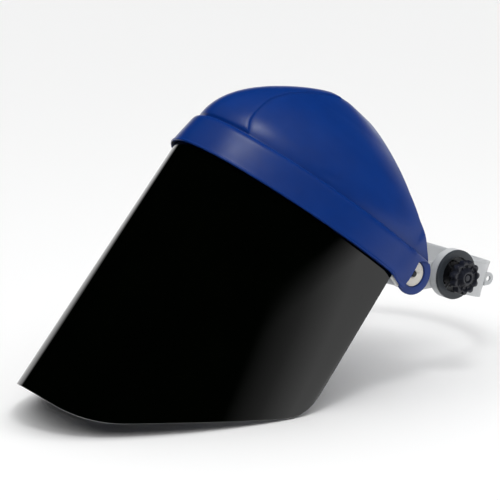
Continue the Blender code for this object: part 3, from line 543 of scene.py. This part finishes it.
def build_window():
    """The dark window, one sheet bent round the rim."""
    half, reach = RIM_HALF - 3.4, RIM_REACH - 3.4
    end = math.acos((PLAN_Y + 22.0) / reach)
    steps = 150
    ts = [end * (1.0 - (1.0 - i / steps) ** 1.15) for i in range(steps + 1)]
    pts = [Vector((*plan_point(half, reach, TAPER, t), 0.0)) for t in ts]
    lengths = [0.0]
    for a, b in zip(pts, pts[1:]):
        lengths.append(lengths[-1] + (b - a).length)
    rings = []
    for i, p in enumerate(pts):
        ahead = pts[min(i + 1, steps)] - pts[max(i - 1, 0)]
        out = Vector((ahead.y, -ahead.x, 0.0)).normalized()
        if out.x * p.x + out.y * (p.y - PLAN_Y) < 0:
            out = -out
        rim = RIM_LOW + RIM_SLOPE * p.y
        low, high = rim - window_drop(lengths[i], lengths[-1]), rim + 5.0
        section = rounded([(0.0, low), (-2.0, low), (-2.0, high), (0.0, high)], 0.45, 3)
        lean = Vector((p.x / RIM_HALF, (p.y - PLAN_Y) / RIM_REACH, 0.0)).normalized() * 0.012
        rings.append([tuple(p + out * u + lean * (RIM_LOW - z) + Vector((0, 0, z)))
                      for u, z in section])
    mirror = [[(-x, y, z) for x, y, z in ring] for ring in reversed(rings[1:])]
    bm = bmesh.new()
    skin(bm, mirror + rings)
    link("visor_window", bm, WINDOW, "visor", TO_WORLD, 40.0, ("window",))


# ---------------------------------------------------------------- pivots and ratchet

def build_buttons():
    """Dished cream buttons, with a moulded bar and a hole in the middle for the pin."""
    for side, label in ((1, "left"), (-1, "right")):
        bm = bmesh.new()
        profile = rounded([(82.0, 1.8), (82.0, 9.4), (87.2, 9.4), (87.5, 9.0), (87.0, 8.0),
                           (86.9, 3.4), (86.4, 2.6), (85.5, 2.6), (85.5, 1.8)], 0.3, 3)
        skin(bm, [[(side * x, y, z) for x, y, z in r] for r in turned(profile)], wrap=True)
        link("button_" + label, bm, CREAM, "headgear", None, 35.0,
             ("pivot_button_" + label,))
        bm = bmesh.new()
        bar = rounded([(-0.6, -0.9), (5.6, -0.9), (6.2, 0.0), (5.6, 0.9), (-0.6, 0.9)], 0.4, 3)
        turn = math.radians(8.0)
        rings = []
        for x, s in ((86.7, 1.0), (87.35, 1.0), (87.6, 0.75)):
            ring = []
            for u, v in bar:
                u, v = 2.6 + (u - 2.6) * s, v * s
                ring.append((side * x, u * math.cos(turn) - v * math.sin(turn) + 0.4,
                             u * math.sin(turn) + v * math.cos(turn) - 1.6))
            rings.append(ring)
        skin(bm, rings)
        link("button_bar_" + label, bm, CREAM, "headgear", None, 35.0)


def knob_radius(r, depth, a):
    """Radius of the fluted knob at an angle."""
    return r - depth * (0.5 - 0.5 * math.cos(11 * a)) ** 1.6


def build_knob():
    """The fluted ratchet knob."""
    bm = bmesh.new()
    stations = [(90.8, 3.3, 0), (90.8, 7.4, 0), (91.0, 8.0, 0), (91.9, 9.6, 0.3), (92.5, 11.2, 1.0),
                (92.9, 12.4, 1.7), (93.4, 13.0, 2.0), (94.0, 13.2, 2.1), (95.6, 13.25, 2.1),
                (97.2, 13.2, 2.1), (97.9, 12.95, 2.05), (98.3, 12.4, 1.9), (98.45, 11.6, 1.5),
                (98.4, 10.6, 0.8), (98.1, 9.9, 0.2), (97.5, 9.3, 0), (97.1, 8.7, 0),
                (97.0, 8.2, 0), (97.15, 7.7, 0), (98.2, 6.4, 0), (99.0, 5.4, 0), (99.4, 4.8, 0),
                (99.5, 4.3, 0), (99.4, 3.5, 0), (99.1, 3.2, 0), (97.3, 3.2, 0), (97.3, 1.2, 0),
                (95.3, 1.2, 0), (95.3, 3.3, 0)]
    count = 11 * 18
    rings = []
    for i in range(count):
        a = TAU * i / count
        ring = []
        for x, r, d in stations:
            rr = knob_radius(r, d, a)
            ring.append((x, RATCHET_Y + rr * math.cos(a), RATCHET_Z + rr * math.sin(a)))
        rings.append(ring)
    skin(bm, rings, wrap=True)
    link("grip_knob", bm, KNOB, "knob", None, 40.0, ("ratchet_knob",))
    # ribs on the hub's cone
    for i in range(11):
        a = TAU * (i + 0.5) / 11
        bm = bmesh.new()
        rings = []
        for r, x, w in ((5.2, 99.0, 0.35), (6.6, 98.15, 0.45), (8.2, 97.55, 0.55),
                        (9.6, 98.15, 0.6)):
            ring = []
            for u, v in ((-w, -0.5), (-w * 0.6, 0.25), (w * 0.6, 0.25), (w, -0.5)):
                y = RATCHET_Y + r * math.cos(a) - u * math.sin(a)
                z = RATCHET_Z + r * math.sin(a) + u * math.cos(a)
                ring.append((x + v, y, z))
            rings.append(ring)
        skin(bm, rings)
        link("knob_rib_%02d" % (i + 1), bm, KNOB, "knob", None, 40.0)


def build_drum():
    """The round ratchet housing and its ring."""
    axis = (RATCHET_Y, RATCHET_Z)
    bm = bmesh.new()
    profile = rounded([(77.8, 6.0), (79.4, 6.0), (79.4, 17.0), (84.4, 17.0), (84.4, 18.7),
                       (82.2, 18.7), (82.0, 18.5), (81.8, 18.7), (77.8, 18.7)],
                      [0.2, 0.2, 0.5, 0.2, 0.35, 0.1, 0.1, 0.1, 0.3], 3)
    skin(bm, turned(profile, axis), wrap=True)
    link("drum", bm, GREY, "headgear", None, 35.0, ("ratchet_housing",))
    bm = bmesh.new()
    profile = rounded([(84.7, 13.1), (84.7, 18.7), (86.8, 18.7), (86.8, 13.1)],
                      [0.2, 0.2, 0.45, 0.5], 4)
    skin(bm, turned(profile, axis), wrap=True)
    ring = link("drum_ring", bm, SLATE, "headgear", None, 35.0, ("ratchet_ring",))
    bm = bmesh.new()
    profile = rounded([(84.8, 3.5), (86.8, 3.5), (86.8, 6.2), (84.8, 6.2)], 0.3, 3)
    skin(bm, turned(profile, axis, 64), wrap=True)
    link("ring_hub", bm, BLACK, "headgear", None, 35.0)
    for i in range(4):
        a = math.radians(40.0 + 90.0 * i)
        bm = bmesh.new()
        rings = []
        for r in (5.8, 13.4):
            rings.append([(85.0 + v, RATCHET_Y + r * math.cos(a) - u * math.sin(a),
                           RATCHET_Z + r * math.sin(a) + u * math.cos(a))
                          for u, v in rounded([(-0.7, 0.0), (0.7, 0.0), (0.7, 1.3), (-0.7, 1.3)],
                                              0.3, 3)])
        skin(bm, rings)
        link("ring_spoke_%d" % (i + 1), bm, BLACK, "headgear", None, 35.0)
    return ring


# ---------------------------------------------------------------- straps

def build_rear_strap():
    """Rear strap with its rack slot, eyelet tab and moulded edge ribs."""
    leg = [15.8, 17.9, 26.0, 35.0, 46.0, 48.0, 50.0, 52.0, 54.0, 55.8]
    half_out = 75.4

    def plan(offset):
        half, reach = half_out - offset, 65.0 - offset
        pts = [(half, y) for y in leg]
        for i in range(91):
            a = math.pi * i / 90
            pts.append((half * math.cos(a), 57.0 + reach * math.sin(a)))
        return pts + [(-half, y) for y in reversed(leg)]

    def section(y):
        middle = RATCHET_Z - 0.345 * max(0.0, y - 46.0)
        grow = ramp(y, 46.0, 62.0)
        return middle, 8.0 + 6.5 * grow, math.radians(20.0) * grow

    bm = bmesh.new()
    rings = []
    levels = [-1.0, -0.97, -0.86, -0.84, -0.82, 0.82, 0.84, 0.86, 0.97, 1.0]
    lifts = [0.3, 0.0, 0.0, 0.0, 0.25, 0.25, 0.0, 0.0, 0.0, 0.3]
    for (xo, yo), (xi, yi) in zip(plan(0.0), plan(1.6)):
        middle, half, cant = section(yo)
        out = Vector((xo - xi, yo - yi, 0.0)).normalized()
        ring = []
        for level, sink in zip(levels, lifts):
            p = Vector((xo, yo, middle)) - out * sink
            ring.append((p.x, p.y + half * level * math.sin(cant), p.z + half * level * math.cos(cant)))
        for level, sink in zip(reversed(levels), reversed(lifts)):
            p = Vector((xi, yi, middle)) + out * (sink if abs(level) > 0.99 else 0.0)
            ring.append((p.x, p.y + half * level * math.sin(cant), p.z + half * level * math.cos(cant)))
        rings.append(ring)
    skin(bm, rings)
    strap = link("nape_strap", bm, GREY, "rear_band", None, 30.0, ("rear_strap",))
    cut = bmesh.new()
    pitch = TAU * 4.0 / 8
    points = [(18.0, 5.2), (18.0, -5.7)]
    for i in range(int(43.0 / pitch)):
        y = 18.0 + pitch * i
        points += [(y + 0.30 * pitch, -5.7), (y + 0.42 * pitch, -4.7), (y + 0.72 * pitch, -4.7),
                   (y + 0.84 * pitch, -5.7)]
    points += [(61.0, -5.7), (61.0, 5.2)]
    skin(cut, [[(x, y, RATCHET_Z + z) for y, z in points] for x in (70.0, 80.0)])
    cut_away(strap, cut)
    bm = bmesh.new()
    y0, z0 = 100.0, -25.0
    outer = [(y0 + 5.0 * math.cos(a), z0 + 5.0 * math.sin(a))
             for a in (math.radians(-90 + 180 * i / 40) for i in range(41))]
    outer += [(y0 - 4.0, z0 + 5.0), (y0 - 4.0, z0 - 5.0)]
    skin(bm, [[(x, y0 + (y - y0) * s, z0 + (z - z0) * s) for y, z in outer]
              for x, s in ((58.2, 0.96), (58.4, 1.0), (60.0, 1.0), (60.2, 0.96))])
    tab = link("eyelet", bm, GREY, "rear_band", None, 35.0)
    hole = bmesh.new()
    skin(hole, [[(x, y0 + 2.3 * math.cos(a), z0 + 2.3 * math.sin(a))
                 for a in (TAU * i / 40 for i in range(40))] for x in (57.0, 62.0)])
    cut_away(tab, hole)
    return strap


def cut_away(obj, bm):
    """Cuts a bmesh in millimetres out of a piece."""
    bmesh.ops.recalc_face_normals(bm, faces=bm.faces)
    bm.transform(Matrix.Scale(MM, 4))
    mesh = bpy.data.meshes.new("cutter")
    bm.to_mesh(mesh)
    bm.free()
    tool = bpy.data.objects.new("cutter", mesh)
    bpy.context.scene.collection.objects.link(tool)
    mod = obj.modifiers.new("cut", 'BOOLEAN')
    mod.object = tool
    mod.operation = 'DIFFERENCE'
    bake(obj)
    bpy.data.objects.remove(tool)


def bake(obj):
    """Replaces a piece's mesh by its evaluated one and drops its modifiers."""
    bpy.context.view_layer.update()
    dg = bpy.context.evaluated_depsgraph_get()
    mesh = bpy.data.meshes.new_from_object(obj.evaluated_get(dg), depsgraph=dg)
    obj.modifiers.clear()
    obj.data = mesh
    mesh.set_sharp_from_angle(angle=math.radians(35.0))


# ---------------------------------------------------------------- brow pad

def band_middle(y):
    """Height of the front band's middle line."""
    return -7.0 + BAND_CLIMB * max(0.0, BAND_CLIMB_Y - y)


def build_pad():
    """Sweatband over foam: swollen by a short cloth run, with a stitched groove near each edge."""
    half_out, reach_out, arc_y = PAD_HALF, PAD_REACH, PAD_Y
    thick, height = 7.2, 30.0
    bm = bmesh.new()
    rings = []
    steps = 60
    for i in range(steps + 1):
        a = math.radians(36.0 + 108.0 * i / steps)
        swell = min(1.0, 0.4 + 5.0 * min(i, steps - i) / steps)
        mid = band_middle(arc_y - reach_out * math.sin(a))
        pts = []
        for u, v in ((0.05, -0.46), (0.0, -0.3), (0.0, 0.0), (0.0, 0.3), (0.05, 0.46), (0.4, 0.5),
                     (0.8, 0.42), (0.98, 0.2), (1.0, 0.0), (0.98, -0.2), (0.8, -0.42),
                     (0.4, -0.5)):
            d = u * thick * swell
            pts.append(((half_out - d) * math.cos(a), arc_y - (reach_out - d) * math.sin(a),
                        mid + v * height * (0.86 + 0.14 * swell)))
        rings.append(pts)
    skin(bm, rings)
    pad = link("sweatband", bm, KNIT, "headgear", None, 70.0, ("brow_pad",))
    remesh = pad.modifiers.new("remesh", 'REMESH')
    remesh.mode = 'VOXEL'
    remesh.voxel_size = 0.0028
    bake(pad)
    start = [v.co.copy() for v in pad.data.vertices]
    cloth = pad.modifiers.new("cloth", 'CLOTH')
    cloth.settings.use_pressure = True
    cloth.settings.uniform_pressure_force = 4.0
    cloth.settings.effector_weights.gravity = 0.0
    cloth.settings.quality = 5
    cloth.point_cache.frame_start, cloth.point_cache.frame_end = 1, 16
    for f in range(1, 17):
        bpy.context.scene.frame_set(f)
    dg = bpy.context.evaluated_depsgraph_get()
    ev = pad.evaluated_get(dg)
    moved = [v.co.copy() for v in ev.data.vertices]
    pad.modifiers.clear()
    for v, a, b in zip(pad.data.vertices, start, moved):
        step = b - a
        if step.length > 1.6 * MM:
            step = step.normalized() * 1.6 * MM
        v.co = a + step
    bpy.context.scene.frame_set(1)
    return finish_pad(pad)


def finish_pad(pad):
    """Keeps the pad off the band behind it, presses in two stitched grooves, smooths."""
    for v in pad.data.vertices:
        x, y, z = v.co / MM
        a = math.atan2(-(y - PAD_Y) / PAD_REACH, x / PAD_HALF)
        limit_x, limit_y = PAD_HALF * math.cos(a), PAD_Y - PAD_REACH * math.sin(a)
        r, limit = math.hypot(x, y - PAD_Y), math.hypot(limit_x, limit_y - PAD_Y)
        scale = min(1.0, limit / max(r, 1e-6))
        inward = (limit - r * scale)
        for line in (-10.5, 10.5):
            off = z - band_middle(limit_y) - line
            if inward > 2.0:
                scale *= 1.0 + 0.010 * math.exp(-(off / 0.9) ** 2)
        v.co = Vector((x * scale, PAD_Y + (y - PAD_Y) * scale, z)) * MM
    smooth = pad.modifiers.new("smooth", 'SUBSURF')
    smooth.levels = smooth.render_levels = 1
    bake(pad)
    pad.data.shade_smooth()
    return pad


# ---------------------------------------------------------------- carried-over CAD pieces

def dress(name, mat, width=0.25):
    """A CAD node with softened edges and its own finish."""
    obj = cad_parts[name]
    weld = obj.modifiers.new("weld", 'WELD')
    weld.merge_threshold = 0.00002
    bevel = obj.modifiers.new("bevel", 'BEVEL')
    bevel.width = width * MM
    bevel.segments = 2
    bevel.limit_method = 'ANGLE'
    bevel.angle_limit = math.radians(32.0)
    bevel.use_clamp_overlap = True
    for poly in obj.data.polygons:
        poly.use_smooth = True
    obj.data.materials.clear()
    obj.data.materials.append(mat)


CARRIED = {
    "window_clip_left": WHITE, "window_clip_right": WHITE,
    "pivot_hub_left": GREY, "pivot_hub_right": GREY,
    "friction_washer_left": BLACK, "friction_washer_right": BLACK,
    "pivot_screw_left": BLACK, "pivot_screw_right": BLACK,
    "headband_front": GREY, "crown_strap_left": GREY, "crown_strap_right": GREY,
    "crown_peg_1": WHITE, "crown_peg_2": WHITE, "crown_rivet_left": WHITE,
    "crown_rivet_right": WHITE, "strap_keeper": GREY, "pawl_spring": STEEL,
    "pinion_shaft": WHITE, "ratchet_wheel": BLACK, "knob_screw": KNOB,
    "window_stud_1": BLACK, "window_stud_2": BLACK, "window_stud_3": BLACK,
    "window_stud_4": BLACK, "window_stud_5": BLACK,
}


# ---------------------------------------------------------------- stage

def area_light(name, location, target, size, power, colour=(1.0, 1.0, 1.0), size_y=None):
    data = bpy.data.lights.new(name, 'AREA')
    data.shape = 'RECTANGLE'
    data.size = size
    data.size_y = size_y or size
    data.energy = power
    data.color = colour
    obj = bpy.data.objects.new(name, data)
    bpy.context.scene.collection.objects.link(obj)
    obj.location = location
    obj.rotation_euler = (Vector(target) - Vector(location)).to_track_quat('-Z', 'Y').to_euler()
    return obj


def studio_world():
    """White backdrop; what the surfaces reflect is a dark room open to white on its far sides."""
    world = bpy.data.worlds.new("studio")
    bpy.context.scene.world = world
    world.use_nodes = True
    nt = world.node_tree
    plain = nt.nodes["Background"]
    plain.inputs["Color"].default_value = (1.0, 1.0, 1.0, 1.0)
    plain.inputs["Strength"].default_value = 1.0
    coord = node(nt, "ShaderNodeTexCoord")
    turn = node(nt, "ShaderNodeMapping", vector_type='POINT')
    turn.inputs["Rotation"].default_value = (0.0, 0.0, math.radians(35.0))
    nt.links.new(coord.outputs["Generated"], turn.inputs["Vector"])
    split = node(nt, "ShaderNodeSeparateXYZ")
    nt.links.new(turn.outputs["Vector"], split.inputs["Vector"])
    plan = node(nt, "ShaderNodeMath", operation='ARCTAN2')
    nt.links.new(split.outputs["Y"], plan.inputs[0])
    nt.links.new(split.outputs["X"], plan.inputs[1])
    ramp_node = node(nt, "ShaderNodeValToRGB")
    share = map_range(nt, plan.outputs["Value"], -math.pi, math.pi, 0.0, 1.0)
    nt.links.new(share, ramp_node.inputs["Fac"])
    bands = ((-180.0, 1.0), (-136.0, 1.0), (-129.0, 0.0), (38.0, 0.0), (49.0, 0.30), (62.0, 1.0))
    elements = ramp_node.color_ramp.elements
    while len(elements) < len(bands):
        elements.new(0.5)
    for element, (angle, level) in zip(elements, bands):
        element.position = (angle + 180.0) / 360.0
        element.color = (level, level, level, 1.0)
    low = map_range(nt, split.outputs["Z"], 0.10, 0.26, 1.0, 0.0)
    dim = node(nt, "ShaderNodeMath", operation='MULTIPLY')
    nt.links.new(ramp_node.outputs["Color"], dim.inputs[0])
    nt.links.new(low, dim.inputs[1])
    room = node(nt, "ShaderNodeBackground")
    nt.links.new(dim.outputs["Value"], room.inputs["Color"])
    path = node(nt, "ShaderNodeLightPath")
    choose = node(nt, "ShaderNodeMixShader")
    nt.links.new(path.outputs["Is Camera Ray"], choose.inputs["Fac"])
    nt.links.new(room.outputs["Background"], choose.inputs[1])
    nt.links.new(plain.outputs["Background"], choose.inputs[2])
    nt.links.new(choose.outputs["Shader"], nt.nodes["World Output"].inputs["Surface"])


def build_stage():
    """Pale floor, even light from above and one soft box."""
    scene = bpy.context.scene
    scene.view_settings.view_transform = 'Standard'
    scene.view_settings.look = 'None'
    studio_world()
    mesh = bpy.data.meshes.new("floor")
    s, z = FLOOR_HALF, CAD_BOX[0][2] - FLOOR_GAP
    mesh.from_pydata([(-s, -s, z), (s, -s, z), (s, s, z), (-s, s, z)], [], [(0, 1, 2, 3)])
    floor = bpy.data.objects.new("floor", mesh)
    scene.collection.objects.link(floor)
    mat, _, sh = new_material("floor_paper")
    sh.inputs["Base Color"].default_value = (0.95, 0.95, 0.95, 1.0)
    sh.inputs["Roughness"].default_value = 0.9
    sh.inputs["Specular IOR Level"].default_value = 0.0
    mesh.materials.append(mat)
    floor.visible_glossy = False
    sun = bpy.data.lights.new("ceiling", 'SUN')
    sun.energy = SUN_STRENGTH
    sun.angle = math.radians(SUN_SPREAD)
    ceiling = bpy.data.objects.new("ceiling", sun)
    scene.collection.objects.link(ceiling)
    ceiling.location = (0.0, 0.0, 1.5)
    ceiling.visible_glossy = False
    plan = math.radians(CAMERA_PLAN + SOFTBOX_PLAN)
    towards = Vector((math.sin(plan), -math.cos(plan), 0.0))
    place = towards * SOFTBOX_OUT + Vector((0.0, -0.08, 1.15))
    area_light("softbox", place, (0.0, -0.08, 0.05), 0.34, SOFTBOX_POWER, size_y=0.26)


def build_camera():
    """The one camera, level and looking down a little."""
    data = bpy.data.cameras.new("camera")
    data.lens = CAMERA_LENS_MM
    data.sensor_width = CAMERA_FILM_MM
    data.clip_start, data.clip_end = 0.05, 50.0
    cam = bpy.data.objects.new("camera", data)
    bpy.context.scene.collection.objects.link(cam)
    az, el = math.radians(CAMERA_PLAN), math.radians(CAMERA_RISE)
    back = Vector((math.sin(az) * math.cos(el), -math.cos(az) * math.cos(el), math.sin(el)))
    right = Vector((math.cos(az), math.sin(az), 0.0))
    cam.location = back * CAMERA_AWAY - right * CAMERA_ASIDE
    cam.rotation_mode = 'QUATERNION'
    cam.rotation_quaternion = back.to_track_quat('Z', 'Y')
    bpy.context.scene.camera = cam


def main():
    """Builds the stage, the camera and every piece."""
    build_stage()
    build_camera()
    build_crown()
    build_ears()
    build_window()
    build_buttons()
    build_drum()
    build_knob()
    build_rear_strap()
    build_pad()
    for name, mat in CARRIED.items():
        dress(name, mat)


main()
